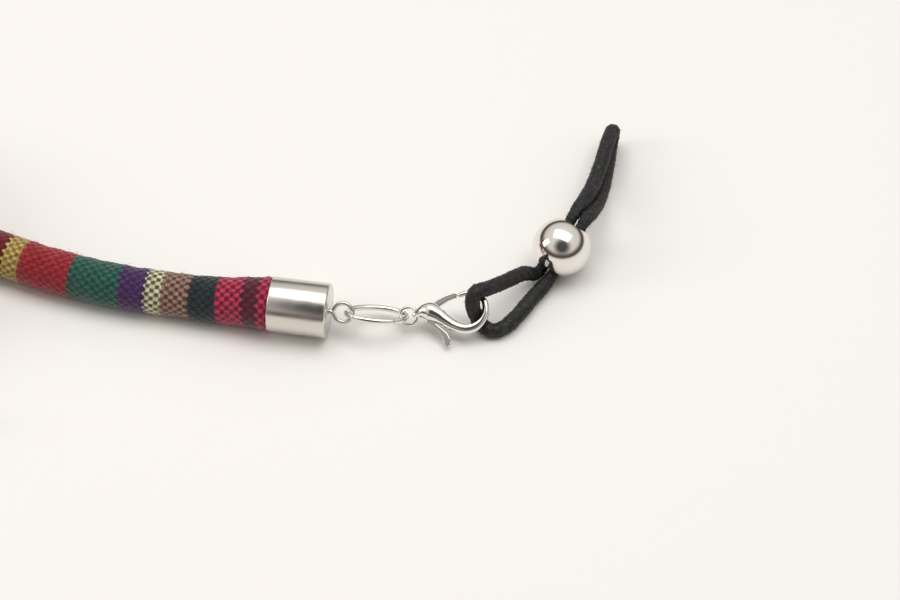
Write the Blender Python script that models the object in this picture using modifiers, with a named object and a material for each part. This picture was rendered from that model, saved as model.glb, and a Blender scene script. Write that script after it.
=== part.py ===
"""Eyeglass retainer strap: a woven tube strap with, at each end, a metal end cap, a jump ring,
a lobster clasp and a waxed-cord temple loop drawn tight by a sliding bead. It lies on a table,
with the spare strap wound into a long coil. Sizes are in millimetres, scene units metres."""

import math

import bmesh
import bpy
from mathutils import Matrix, Vector

MM = 0.001
UP = Vector((0, 0, 1))

# Strap
STRAP_RADIUS = 3.0
SLEEVE_WALL = 0.7
CORE_GAP = 0.3
ROUTE_RADIUS = 3.0
RUN_STEP = 5.0
FINE_STEPS = 8
RUN_GAP = 0.3
COIL_FROM = 92.0
COIL_TO = 198.0
COIL_SINK = 0.12

# End cap, its eye and the adhesive inside it
CAP_FIT = 0.3
CAP_WALL = 0.4
CAP_RADIUS = STRAP_RADIUS + CAP_FIT + CAP_WALL
CAP_LENGTH = 7.9
CAP_END_WALL = 0.7
CAP_FILLET = 0.35
GLUE_THICKNESS = 0.5
GLUE_GAP = 0.15
STRAP_STOP_GAP = 0.3
EYE_RADIUS = 1.3
EYE_WIRE = 0.28
EYE_STEM_RADIUS = 0.4
STEM_GAP = 0.1
EYE_STAND_OFF = 0.6
EYE_HEAD_RADIUS = 0.8
EYE_HEAD_HEIGHT = 0.35
EYE_TILT = 56.0

# Jump ring
RING_LENGTH = 8.9
RING_WIDTH = 5.5
RING_WIRE = 0.39
RING_CUT_DEG = 2.0
RING_CUT_AT = -62.0
RING_TILT = -27.0
LINK_GAP = 0.16
TAIL_LINK_GAP = 0.3

# Lobster clasp, lying along its own X, with its hump towards +Y
TAIL_EYE_RADIUS = 1.18
TAIL_EYE_WIRE = 0.25
SLOT_START = 1.6
SLOT_END = 4.8
LEVER_THICKNESS = 0.8
SLOT_GAP = 0.2
PIVOT = (2.9, 0.55)
HUB_RADIUS = 0.95
PIN_RADIUS = 0.32
PIN_GAP = 0.06
PIN_SEAT = 0.35
PIN_LENGTH = LEVER_THICKNESS + 2 * (SLOT_GAP + PIN_SEAT)
SPRING_WIRE = 0.08
CLASP_ROLL = 30.0
CLASP_PITCH = 7.5
TAIL_HEIGHT = 2.1

# Slide bead and temple cord
BEAD_RADIUS = 4.0
BORE_RADIUS = 1.95
BORE_FILLET = 0.25
CORD_RADIUS = 1.0
PINCHED_RADIUS = 0.78
PINCH_REACH = 8.5

# The table point under the middle of the metal parts is the object's origin.
ORIGIN = (-53.04, -8.22)

# Routes of the free cords, chosen by hand: centre-line points in table coordinates.
STRAP_ROUTE = [
    (-16.0, -5.0, 3.7), (-20.5, -4.3, 3.7), (-23.6, -3.8, 3.7), (-27.2, -3.2, 3.5),
    (-31.0, -2.6, 3.1), (-34.8, -1.9, 3.0), (-41.0, -0.8, 3.0), (-47.0, 0.6, 3.0),
    (-54.0, 2.9, 3.0), (-61.0, 5.8, 3.0), (-67.0, 8.6, 3.0), (-73.5, 12.1, 3.0),
    (-80.5, 16.0, 3.0), (-88.0, 20.0, 3.0), (-94.5, 22.8, 3.0), (-101.0, 24.0, 3.0),
    (-115.0, 24.0, 3.0), (-130.0, 24.0, 3.0), (-136.3, 22.9, 3.0), (-141.9, 19.7, 3.0),
    (-146.0, 14.8, 3.0), (-148.2, 8.7, 3.0), (-148.2, 2.3, 3.0), (-146.0, -3.7, 3.0),
    (-141.9, -8.7, 3.0), (-136.3, -11.9, 3.0), (-130.0, -13.0, 3.0), (-115.0, -13.0, 3.0),
    (-103.0, -13.0, 3.0), (-96.0, -13.0, 3.5), (-90.0, -13.0, 4.6), (-83.7, -11.9, 6.2),
    (-78.1, -8.7, 7.7), (-74.0, -3.7, 8.7), (-71.8, 2.3, 9.1), (-71.8, 8.7, 9.2),
    (-74.0, 14.8, 9.2), (-78.1, 19.7, 9.2), (-83.7, 22.9, 9.2), (-90.0, 24.0, 9.2),
    (-105.0, 24.0, 9.2), (-120.0, 24.0, 9.2), (-134.0, 24.0, 9.2), (-141.0, 24.0, 9.0),
    (-148.2, 22.9, 8.2), (-154.8, 19.4, 7.0), (-160.0, 14.1, 5.6), (-163.3, 7.6, 4.4),
    (-164.3, 0.8, 3.5), (-163.2, -6.4, 3.0), (-159.8, -13.1, 3.0), (-154.6, -18.2, 3.0),
    (-148.0, -21.5, 3.0), (-141.0, -22.5, 3.1), (-134.0, -22.5, 3.5), (-129.0, -22.5, 3.7),
    (-124.9, -22.5, 3.7), (-117.3, -22.5, 3.7),
]
TEMPLE_LOOP_A = [
    (14.4, 6.6, 4.0), (12.0, 3.7, 1.5), (9.9, 2.4, 2.7), (7.2, -0.4, 4.2), (5.0, -2.7, 5.6),
    (3.5, -3.7, 6.1), (3.0, -4.4, 5.2), (3.1, -4.7, 3.7), (3.5, -4.6, 2.3), (4.2, -5.2, 1.2),
    (5.6, -6.2, 1.0), (7.3, -5.5, 1.0), (9.0, -3.6, 1.0), (11.0, -0.6, 1.0), (13.4, 2.5, 1.4),
    (15.8, 5.4, 4.0), (18.2, 8.3, 6.6), (19.3, 10.9, 5.6), (20.2, 13.9, 4.0), (21.2, 18.6, 2.2),
    (22.0, 23.4, 1.3), (22.6, 27.3, 1.3), (22.9, 28.4, 2.4), (22.7, 27.6, 3.8), (21.9, 24.6, 4.6),
    (20.9, 20.6, 4.8), (19.6, 16.0, 5.4), (18.2, 12.2, 6.4), (16.8, 9.5, 6.6),
]
TEMPLE_LOOP_B = [
    (-83.3, -20.8, 4.0), (-87.2, -20.8, 4.0), (-90.0, -20.2, 4.5), (-93.2, -19.7, 5.5),
    (-96.0, -19.9, 6.3), (-97.7, -21.1, 6.2), (-98.1, -21.9, 5.2), (-98.0, -22.2, 3.7),
    (-97.6, -22.1, 2.3), (-96.9, -22.7, 1.2), (-95.5, -23.7, 1.0), (-93.4, -24.3, 1.0),
    (-91.0, -23.9, 1.5), (-89.0, -23.1, 2.8), (-87.2, -22.6, 4.0), (-83.3, -22.6, 4.0),
    (-79.4, -22.0, 3.1), (-77.2, -21.9, 2.1), (-73.5, -21.5, 1.1), (-69.5, -20.9, 1.0),
    (-66.0, -20.8, 1.1), (-64.6, -21.0, 2.4), (-65.4, -21.3, 3.8), (-68.5, -21.7, 4.3),
    (-72.0, -21.9, 3.5), (-75.8, -21.8, 3.4), (-79.4, -21.4, 4.8),
]

for old in list(bpy.data.objects):
    bpy.data.objects.remove(old)

scene = bpy.context.scene
strap_collection = bpy.data.collections.new("eyeglass_retainer_strap")
cutter_collection = bpy.data.collections.new("cutters")
scene.collection.children.link(strap_collection)
scene.collection.children.link(cutter_collection)


def table_point(x, y, z):
    """A point given in table coordinates, in metres from the object's origin."""
    return Vector((x - ORIGIN[0], y - ORIGIN[1], z)) * MM


def placement(point, heading=0.0, pitch=0.0, roll=0.0):
    """A frame at a point: X along the heading, raised by the pitch, rolled about X."""
    turn = Matrix.Rotation(math.radians(heading), 4, "Z")
    turn = turn @ Matrix.Rotation(math.radians(-pitch), 4, "Y")
    turn = turn @ Matrix.Rotation(math.radians(roll), 4, "X")
    return Matrix.Translation(point) @ turn


AXIS_ALONG_X = Matrix.Rotation(math.radians(90), 4, "Y")


def finish_material(name, colour, metallic, roughness):
    material = bpy.data.materials.new(name)
    material.use_nodes = True
    shader = material.node_tree.nodes["Principled BSDF"]
    shader.inputs["Base Color"].default_value = (*colour, 1)
    shader.inputs["Metallic"].default_value = metallic
    shader.inputs["Roughness"].default_value = roughness
    return material


def add_object(name, data, matrix, material, collection=strap_collection):
    obj = bpy.data.objects.new(name, data)
    obj.matrix_world = matrix
    collection.objects.link(obj)
    if material:
        data.materials.append(material)
    return obj


def shade_round(obj):
    obj.data.shade_smooth()
    obj.data.set_sharp_from_angle(angle=math.radians(40))


def turned(name, profile, matrix, material, segments=28, collection=strap_collection):
    """A closed (radius, height) outline swept round Z. Its outer side comes first, top to bottom."""
    mesh = bpy.data.meshes.new(name)
    points = [(radius * MM, 0, height * MM) for radius, height in profile]
    count = len(points)
    edges = [(i, (i + 1) % count) for i in range(count)]
    mesh.from_pydata(points, edges, [])
    obj = add_object(name, mesh, matrix, material, collection)
    screw = obj.modifiers.new("turn", "SCREW")
    screw.steps = segments
    screw.render_steps = segments
    screw.use_merge_vertices = True
    screw.merge_threshold = 1e-6
    screw.use_smooth_shade = True
    return obj


def arc(centre_x, centre_y, radius, start, end, steps):
    """Points along a round stretch, from the start angle to the end angle in degrees."""
    angles = [math.radians(start + (end - start) * i / steps) for i in range(steps + 1)]
    return [(centre_x + radius * math.cos(a), centre_y + radius * math.sin(a)) for a in angles]


def smooth_route(points, spacing, closed=False):
    """Evenly spaced points on the Catmull-Rom curve through a route."""
    count = len(points)
    knots = [Vector(p) for p in points]

    def knot(i):
        if closed:
            return knots[i % count]
        return knots[max(0, min(count - 1, i))]

    fine = []
    for i in range(count if closed else count - 1):
        a, b, c, d = knot(i - 1), knot(i), knot(i + 1), knot(i + 2)
        for step in range(12):
            t = step / 12
            fine.append(0.5 * ((2 * b) + (c - a) * t + (2 * a - 5 * b + 4 * c - d) * t * t
                               + (3 * b - a - 3 * c + d) * t ** 3))
    fine.append(knot(0) if closed else knots[-1])
    lengths = [0.0]
    for before, after in zip(fine, fine[1:]):
        lengths.append(lengths[-1] + (after - before).length)
    pieces = max(2, round(lengths[-1] / spacing))
    even = []
    j = 0
    for i in range(pieces if closed else pieces + 1):
        wanted = lengths[-1] * i / pieces
        while j < len(fine) - 2 and lengths[j + 1] < wanted:
            j += 1
        span = (lengths[j + 1] - lengths[j]) or 1
        even.append(fine[j].lerp(fine[j + 1], (wanted - lengths[j]) / span))
    return even


def tube(name, points, radius, matrix, material, closed=False, capped=True, sides=3,
         radii=None, collection=strap_collection):
    """A round tube or wire through points given in metres in the matrix's frame."""
    curve = bpy.data.curves.new(name, "CURVE")
    curve.dimensions = "3D"
    curve.bevel_depth = radius * MM
    curve.bevel_resolution = sides
    curve.use_fill_caps = capped and not closed
    spline = curve.splines.new("POLY")
    spline.points.add(len(points) - 1)
    for i, point in enumerate(points):
        spline.points[i].co = (*point, 1)
        spline.points[i].radius = radii[i] if radii else 1.0
    spline.use_cyclic_u = closed
    spline.use_smooth = True
    return add_object(name, curve, matrix, material, collection)


def plate(name, outlines, thickness, matrix, material):
    """A flat outline, with any holes after it, as a plate centred on the frame's XY plane."""
    curve = bpy.data.curves.new(name, "CURVE")
    curve.dimensions = "2D"
    curve.fill_mode = "BOTH"
    curve.extrude = thickness / 2 * MM
    for outline in outlines:
        spline = curve.splines.new("POLY")
        spline.points.add(len(outline) - 1)
        for i, (x, y) in enumerate(outline):
            spline.points[i].co = (x * MM, y * MM, 0, 1)
        spline.use_cyclic_u = True
    return add_object(name, curve, matrix, material)


def as_mesh(obj):
    """The curve made a mesh object with its caps welded, so that it can be cut and joined."""
    bpy.context.view_layer.update()
    graph = bpy.context.evaluated_depsgraph_get()
    mesh = bpy.data.meshes.new_from_object(obj.evaluated_get(graph))
    work = bmesh.new()
    work.from_mesh(mesh)
    bmesh.ops.remove_doubles(work, verts=work.verts, dist=1e-6)
    bmesh.ops.recalc_face_normals(work, faces=work.faces)
    work.to_mesh(mesh)
    work.free()
    name, matrix, collection = obj.name, obj.matrix_world.copy(), obj.users_collection[0]
    bpy.data.objects.remove(obj)
    made = bpy.data.objects.new(name, mesh)
    made.matrix_world = matrix
    collection.objects.link(made)
    return made


def as_cutter(obj):
    for collection in list(obj.users_collection):
        collection.objects.unlink(obj)
    cutter_collection.objects.link(obj)
    obj.hide_render = True
    obj.display_type = "WIRE"
    return obj


def combine(obj, other, operation):
    boolean = obj.modifiers.new(other.name, "BOOLEAN")
    boolean.operation = operation
    boolean.object = as_cutter(other)
    return obj


def solid_cylinder(name, radius, start, end, matrix, material=None, segments=20):
    """A cylinder along the frame's X axis, from start to end."""
    mesh = bpy.data.meshes.new(name)
    work = bmesh.new()
    along = AXIS_ALONG_X.copy()
    along.translation = ((start + end) / 2 * MM, 0, 0)
    bmesh.ops.create_cone(work, cap_ends=True, segments=segments, radius1=radius * MM,
                          radius2=radius * MM, depth=(end - start) * MM, matrix=along)
    work.to_mesh(mesh)
    work.free()
    obj = add_object(name, mesh, matrix, material)
    shade_round(obj)
    return obj


def wire_ring(name, radius, wire, matrix, material, steps=20):
    """A round wire ring in the frame's XY plane."""
    angles = [2 * math.pi * i / steps for i in range(steps)]
    points = [Vector((math.cos(a), math.sin(a), 0)) * radius * MM for a in angles]
    return tube(name, points, wire, matrix, material, closed=True, sides=2)


nickel = finish_material("satin_nickel", (0.72, 0.70, 0.66), 1.0, 0.32)
bright = finish_material("bright_nickel", (0.85, 0.84, 0.82), 1.0, 0.08)
spring_steel = finish_material("spring_steel", (0.5, 0.5, 0.5), 1.0, 0.3)
adhesive = finish_material("adhesive", (0.75, 0.68, 0.5), 0.0, 0.4)
weave = finish_material("woven_cotton", (0.45, 0.08, 0.12), 0.0, 0.9)
filler = finish_material("cotton_filler", (0.8, 0.78, 0.7), 0.0, 0.95)
waxed = finish_material("waxed_cotton", (0.02, 0.02, 0.022), 0.0, 0.6)


def clasp_outline_rod():
    """Centre-line points and radii of the cast body, from its root round the hook to its nose."""
    return [
        (0.95, 0.15, 0.45), (1.5, 0.35, 0.8), (2.2, 0.5, 1.15), (3.0, 0.45, 1.35),
        (3.9, 0.0, 1.2), (4.8, -0.65, 0.98), (5.8, -1.3, 0.84), (6.9, -1.8, 0.78),
        (8.0, -1.95, 0.74), (9.1, -1.6, 0.68), (9.95, -0.8, 0.58), (10.4, 0.3, 0.5),
        (10.3, 1.5, 0.44), (9.6, 2.45, 0.4), (8.5, 2.85, 0.37), (7.6, 2.8, 0.35),
        (6.95, 2.62, 0.33),
    ]


def lever_outline():
    """The gate arm, the round hub on the pivot and the thumb tab, as one outline."""
    hub = arc(PIVOT[0], PIVOT[1], HUB_RADIUS, 70, 235, 8)
    gate_top = [(6.35, 2.98), (5.2, 2.62), (4.1, 2.1)]
    tab = [
        (2.5, -1.05), (3.4, -1.65), (4.2, -2.4), (4.7, -3.2), (4.85, -4.0), (5.2, -4.35),
        (5.6, -4.1), (5.65, -3.3), (5.25, -2.5), (4.5, -1.85), (3.75, -1.2), (3.55, -0.6),
        (3.7, 0.3), (4.15, 1.1), (5.4, 1.85), (6.55, 2.25), (6.6, 2.8),
    ]
    return gate_top + hub + tab


def build_clasp(end, frame):
    """The cast body with its tail eye and slot, the lever, its pin and its spring."""
    rod = clasp_outline_rod()
    points = [Vector((x, y, 0)) * MM for x, y, _ in rod]
    radii = [radius for _, _, radius in rod]
    body = tube("clasp_body_" + end, points, 1.0, frame, None, radii=radii)
    body = as_mesh(body)
    body.data.materials.append(bright)
    eye = as_mesh(wire_ring("tail_eye_" + end, TAIL_EYE_RADIUS, TAIL_EYE_WIRE, frame, None, 18))
    combine(body, eye, "UNION")

    slot_width = LEVER_THICKNESS + 2 * SLOT_GAP
    slot_mesh = bpy.data.meshes.new("slot_" + end)
    work = bmesh.new()
    middle = Matrix.Translation(Vector(((SLOT_START + SLOT_END) / 2, 0, 0)) * MM)
    size = Matrix.Diagonal(((SLOT_END - SLOT_START) * MM, 8 * MM, slot_width * MM, 1))
    bmesh.ops.create_cube(work, size=1, matrix=middle @ size)
    work.to_mesh(slot_mesh)
    work.free()
    slot = add_object("slot_" + end, slot_mesh, frame, None)
    combine(body, slot, "DIFFERENCE")

    at_pivot = frame @ Matrix.Translation(Vector((*PIVOT, 0)) * MM)
    across = at_pivot @ Matrix.Rotation(math.radians(-90), 4, "Y")
    hole = solid_cylinder("pin_hole_" + end, PIN_RADIUS + PIN_GAP, -3, 3, across)
    combine(body, hole, "DIFFERENCE")

    # The lever's own frame stands on the pivot, its joint's axis.
    shape = [(x - PIVOT[0], y - PIVOT[1]) for x, y in lever_outline()]
    pin_hole = arc(0, 0, PIN_RADIUS + PIN_GAP, 360, 30, 11)
    plate("clasp_lever_" + end, [shape, pin_hole], LEVER_THICKNESS, at_pivot, bright)
    half = PIN_LENGTH / 2
    solid_cylinder("lever_pin_" + end, PIN_RADIUS, -half, half, across, spring_steel, 14)
    leaf = [(1.74, 1.2), (1.8, 1.0), (1.76, 0.75), (1.72, 0.5), (1.76, 0.2)]
    leaf_points = [Vector((x, y, 0)) * MM for x, y in leaf]
    tube("lever_spring_" + end, leaf_points, SPRING_WIRE, frame, spring_steel, sides=2)


def build_end(end, mouth, cap_heading, tail, clasp_heading, bead, bead_heading, bead_pitch,
              hook, temple_route):
    """All the metal parts and the temple cord of one end of the strap."""
    # The clasp and the bead stay where the cord is. The cap slides along the strap's axis, as
    # far as the ring's length says.
    eye_slack = EYE_RADIUS - EYE_WIRE - RING_WIRE - LINK_GAP
    tail_slack = TAIL_EYE_RADIUS - TAIL_EYE_WIRE - RING_WIRE - TAIL_LINK_GAP
    reach = eye_slack + RING_LENGTH - 2 * RING_WIRE + tail_slack
    drop = CAP_RADIUS - TAIL_HEIGHT
    axis = placement(table_point(*mouth, CAP_RADIUS), cap_heading)
    tail_point = table_point(*tail, TAIL_HEIGHT)
    seen = axis.inverted() @ tail_point / MM
    eye_along = seen.x - math.sqrt(reach ** 2 - drop ** 2 - seen.y ** 2)
    eye_point = axis @ (Vector((eye_along, 0, 0)) * MM)
    eye_x = CAP_LENGTH + EYE_STAND_OFF + EYE_RADIUS
    cap = axis @ Matrix.Translation(Vector((eye_along - eye_x, 0, 0)) * MM)
    axis_up = cap @ AXIS_ALONG_X
    inner = CAP_RADIUS - CAP_WALL
    hole = EYE_STEM_RADIUS + STEM_GAP
    rim = arc(CAP_RADIUS - CAP_FILLET, CAP_LENGTH - CAP_FILLET, CAP_FILLET, 90, 0, 3)
    bore = [(inner, 0), (inner, CAP_LENGTH - CAP_END_WALL), (hole, CAP_LENGTH - CAP_END_WALL)]
    turned("end_cap_" + end, [(hole, CAP_LENGTH)] + rim + [(CAP_RADIUS, 0)] + bore,
           axis_up, nickel)

    eye_frame = cap @ Matrix.Translation(Vector((eye_x, 0, 0)) * MM)
    eye_frame = eye_frame @ Matrix.Rotation(math.radians(EYE_TILT), 4, "X")
    eye = as_mesh(wire_ring("cap_eye_" + end, EYE_RADIUS, EYE_WIRE, eye_frame, None))
    eye.data.materials.append(nickel)
    inside = CAP_LENGTH - CAP_END_WALL - STEM_GAP
    back = Matrix.Translation(Vector((-eye_x, 0, 0)) * MM)
    stem = solid_cylinder("eye_stem_" + end, EYE_STEM_RADIUS, inside - EYE_HEAD_HEIGHT / 2,
                          eye_x - EYE_RADIUS, eye_frame @ back, segments=14)
    head = solid_cylinder("eye_head_" + end, EYE_HEAD_RADIUS, inside - EYE_HEAD_HEIGHT,
                          inside, eye_frame @ back, segments=14)
    combine(eye, stem, "UNION")
    combine(eye, head, "UNION")

    glue_end = inside - EYE_HEAD_HEIGHT - GLUE_GAP
    solid_cylinder("cap_glue_" + end, inner - GLUE_GAP, glue_end - GLUE_THICKNESS, glue_end,
                   cap, adhesive)
    stop = as_cutter(solid_cylinder("strap_stop_" + end, CAP_RADIUS, glue_end - GLUE_THICKNESS
                                    - STRAP_STOP_GAP, 2 * CAP_LENGTH, cap))

    # The ring hangs in the cap eye and holds the clasp's tail eye.
    pitch = -math.degrees(math.asin(drop / reach))
    heading = cap_heading + math.degrees(math.atan2(seen.y, seen.x - eye_along))
    ring = placement(eye_point, heading, pitch)
    ring = ring @ Matrix.Translation(Vector((eye_slack, 0, 0)) * MM)
    ring = ring @ Matrix.Rotation(math.radians(RING_TILT), 4, "X")
    half_length = RING_LENGTH / 2 - RING_WIRE
    half_width = RING_WIDTH / 2 - RING_WIRE
    steps = 30
    cut_at = math.radians(RING_CUT_AT)
    turn = math.radians(360 - RING_CUT_DEG)
    ring_points = []
    for i in range(steps + 1):
        angle = cut_at + math.radians(RING_CUT_DEG / 2) + turn * i / steps
        ring_points.append(Vector((half_length + half_length * math.cos(angle),
                                   half_width * math.sin(angle), 0)) * MM)
    tube("jump_ring_" + end, ring_points, RING_WIRE, ring, bright, sides=2)

    build_clasp(end, placement(tail_point, clasp_heading, CLASP_PITCH, CLASP_ROLL))

    centre = table_point(*bead)
    bead_frame = placement(centre, bead_heading, bead_pitch) @ AXIS_ALONG_X
    mouth = math.degrees(math.acos((BORE_RADIUS + BORE_FILLET) / BEAD_RADIUS))
    shell = arc(0, 0, BEAD_RADIUS, mouth, -mouth, 14)
    end_height = BEAD_RADIUS * math.sin(math.radians(mouth)) - BORE_FILLET
    turned("slide_bead_" + end, shell + [(BORE_RADIUS, -end_height), (BORE_RADIUS, end_height)],
           bead_frame, bright)

    # The cord is pinched where it passes through the bead, and for the bead's travel.
    hook_point = table_point(*hook)
    route = smooth_route([table_point(*p) for p in temple_route], 1.9 * MM, closed=True)
    radii = []
    for point in route:
        distance = (point - centre).length / MM
        share = min(1.0, max(0.0, (distance - PINCH_REACH + 2.0) / 2.0))
        radii.append(PINCHED_RADIUS + (CORD_RADIUS - PINCHED_RADIUS) * share)
    tube("temple_cord_" + end, [p - hook_point for p in route], 1.0,
         Matrix.Translation(hook_point), waxed, closed=True, sides=2, radii=radii)
    return stop


def build_strap_run(part, points, stop):
    """A stretch out to one end: the hollow woven sleeve and the filler core inside it. The stop
    cuts both short of the adhesive in the cap."""
    still = Matrix.Identity(4)
    sleeve = tube("strap_sleeve_" + part, points, STRAP_RADIUS, still, weave, capped=False)
    shell = sleeve.modifiers.new("wall", "SOLIDIFY")
    shell.thickness = SLEEVE_WALL * MM
    shell.offset = -1
    shell.use_even_offset = True
    core_radius = STRAP_RADIUS - SLEEVE_WALL - CORE_GAP
    core = tube("strap_core_" + part, points, core_radius, still, filler)
    for piece in (as_mesh(sleeve), as_mesh(core)):
        combine(piece, stop, "DIFFERENCE")


def build_coil(points):
    """The coiled stretch on the table, solid, with the flat underside its weight gives it."""
    sunk = [p - UP * COIL_SINK * MM for p in points]
    coil = as_mesh(tube("strap_coil", sunk, STRAP_RADIUS, Matrix.Identity(4), weave))
    low = [min(p[k] for p in sunk) - 2 * STRAP_RADIUS * MM for k in range(2)]
    high = [max(p[k] for p in sunk) + 2 * STRAP_RADIUS * MM for k in range(2)]
    table_mesh = bpy.data.meshes.new("coil_table")
    work = bmesh.new()
    middle = Matrix.Translation(Vector(((low[0] + high[0]) / 2, (low[1] + high[1]) / 2,
                                        -STRAP_RADIUS / 2 * MM)))
    size = Matrix.Diagonal((high[0] - low[0], high[1] - low[1], STRAP_RADIUS * MM, 1))
    bmesh.ops.create_cube(work, size=1, matrix=middle @ size)
    work.to_mesh(table_mesh)
    work.free()
    combine(coil, add_object("coil_table", table_mesh, Matrix.Identity(4), None), "DIFFERENCE")


stop_a = build_end("a", (-23.6, -3.84), -8.9, (-5.55, -4.55), -4.0, (15.1, 6.0, 4.0), 50.0,
                   35.0, (3.2, -4.6, 3.0), TEMPLE_LOOP_A)
stop_b = build_end("b", (-124.9, -22.5), 0.0, (-106.7, -22.1), -4.0, (-83.3, -21.7, 4.0), 0.0,
                   0.0, (-97.9, -22.1, 3.0), TEMPLE_LOOP_B)

# The strap's heights were chosen for one strap radius, and follow it.
lift = STRAP_RADIUS / ROUTE_RADIUS
strap_points = smooth_route([table_point(x, y, z * lift) for x, y, z in STRAP_ROUTE],
                            RUN_STEP / FINE_STEPS * MM)


def strap_stretch(start, end):
    """Points along the strap between two distances from its first end."""
    first = round(start * FINE_STEPS / RUN_STEP)
    last = min(len(strap_points) - 1, round(end * FINE_STEPS / RUN_STEP))
    count = max(2, round((last - first) / FINE_STEPS))
    return [strap_points[first + round((last - first) * i / count)] for i in range(count + 1)]


strap_length = len(strap_points) * RUN_STEP / FINE_STEPS
build_strap_run("lead", strap_stretch(0, COIL_FROM), stop_a)
build_coil(strap_stretch(COIL_FROM + 2 * RUN_GAP, COIL_TO))
build_strap_run("tail", strap_stretch(COIL_TO + 2 * RUN_GAP, strap_length), stop_b)
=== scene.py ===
import math
import random

import bmesh
import bpy
import numpy as np
from mathutils import Matrix, Vector, noise


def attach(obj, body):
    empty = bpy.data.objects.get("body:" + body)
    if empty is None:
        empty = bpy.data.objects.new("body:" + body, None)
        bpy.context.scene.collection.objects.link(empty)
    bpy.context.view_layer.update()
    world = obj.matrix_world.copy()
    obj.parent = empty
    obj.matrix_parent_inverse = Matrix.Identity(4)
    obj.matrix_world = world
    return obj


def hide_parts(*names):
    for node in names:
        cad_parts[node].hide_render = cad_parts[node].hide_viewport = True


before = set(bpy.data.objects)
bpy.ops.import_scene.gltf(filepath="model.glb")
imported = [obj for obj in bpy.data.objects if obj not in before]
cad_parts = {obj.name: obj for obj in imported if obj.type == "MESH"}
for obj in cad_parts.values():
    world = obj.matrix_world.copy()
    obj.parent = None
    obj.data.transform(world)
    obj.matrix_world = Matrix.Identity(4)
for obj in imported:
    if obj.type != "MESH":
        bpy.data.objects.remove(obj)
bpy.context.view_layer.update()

MM = 0.001

# The camera looks down on the table at fifty degrees, and the table is lit high-key, as in a
# light tent: a broad lamp overhead, a smaller one to the left, and a pale dome all round.
TABLE_ORIGIN = Vector((-53.04, -8.22, 0.0))
CAMERA_ELEVATION = math.radians(50)
CAMERA_DISTANCE = 0.4


def table_point(x, y, z=0.0):
    """A point given in table millimetres, in metres from the object's origin."""
    return (Vector((x, y, z)) - TABLE_ORIGIN) * MM


def aim(obj, place, target):
    obj.location = place
    obj.rotation_euler = (Vector(target) - Vector(place)).to_track_quat("-Z", "Y").to_euler()


scene = bpy.context.scene
scene.view_settings.view_transform = "Standard"
middle = table_point(0, 0)
camera = bpy.data.objects.new("camera", bpy.data.cameras.new("camera"))
camera.data.lens = 118.5
camera.data.clip_start = 0.01
scene.collection.objects.link(camera)
away = Vector((0, -math.cos(CAMERA_ELEVATION), math.sin(CAMERA_ELEVATION)))
aim(camera, middle + away * CAMERA_DISTANCE, middle)
scene.camera = camera


def softbox(name, place, size, power, colour):
    lamp = bpy.data.lights.new(name, "AREA")
    lamp.shape = "RECTANGLE"
    lamp.size, lamp.size_y = size
    lamp.energy = power
    lamp.color = colour
    obj = bpy.data.objects.new(name, lamp)
    scene.collection.objects.link(obj)
    aim(obj, place, middle)
    return obj


softbox("overhead_softbox", middle + Vector((0.03, 0.07, 0.5)), (0.6, 0.34), 1.3, (1.0, 0.985, 0.96))
softbox("left_softbox", middle + Vector((-0.5, -0.02, 0.26)), (0.16, 0.26), 0.5, (1.0, 0.975, 0.94))

# The dome is pale overhead and dim lower down, and darkest where the person at work stands, so
# that polished metal has something dark to mirror.
world = bpy.data.worlds.new("light_tent")
scene.world = world
world.use_nodes = True
tent = world.node_tree
tent_light = tent.nodes["Background"]
direction = tent.nodes.new("ShaderNodeTexCoord")
height = tent.nodes.new("ShaderNodeSeparateXYZ")
bands = tent.nodes.new("ShaderNodeValToRGB")
tent.links.new(direction.outputs["Generated"], height.inputs[0])
tent.links.new(height.outputs["Z"], bands.inputs[0])
for place, colour in ((0.05, (0.50, 0.45, 0.40)), (0.12, (0.07, 0.055, 0.048)),
                      (0.26, (0.18, 0.145, 0.12)), (0.44, (0.80, 0.77, 0.73))):
    stop = bands.color_ramp.elements.new(place)
    stop.color = (*colour, 1)
bands.color_ramp.elements[0].color = (0.7, 0.66, 0.6, 1)
bands.color_ramp.elements[-1].color = (1.0, 0.985, 0.96, 1)
nearness = tent.nodes.new("ShaderNodeVectorMath")
nearness.operation = "DOT_PRODUCT"
nearness.inputs[1].default_value = away
figure = tent.nodes.new("ShaderNodeMapRange")
figure.inputs["From Min"].default_value = 0.78
figure.inputs["From Max"].default_value = 0.96
figure.inputs["To Min"].default_value = 1.0
figure.inputs["To Max"].default_value = 0.10
shaded = tent.nodes.new("ShaderNodeVectorMath")
shaded.operation = "SCALE"
tent.links.new(direction.outputs["Generated"], nearness.inputs[0])
tent.links.new(nearness.outputs["Value"], figure.inputs["Value"])
tent.links.new(bands.outputs["Color"], shaded.inputs[0])
tent.links.new(figure.outputs["Result"], shaded.inputs["Scale"])
tent.links.new(shaded.outputs[0], tent_light.inputs["Color"])
tent_light.inputs["Strength"].default_value = 0.86

table_mesh = bpy.data.meshes.new("table")
work = bmesh.new()
bmesh.ops.create_grid(work, x_segments=1, y_segments=1, size=1.5)
work.to_mesh(table_mesh)
work.free()
table = bpy.data.objects.new("table", table_mesh)
scene.collection.objects.link(table)
table_paint = bpy.data.materials.new("table_paint")
table_paint.use_nodes = True
table_shader = table_paint.node_tree.nodes["Principled BSDF"]
table_shader.inputs["Base Color"].default_value = (0.93, 0.915, 0.895, 1)
table_shader.inputs["Roughness"].default_value = 0.65
table_mesh.materials.append(table_paint)


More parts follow.
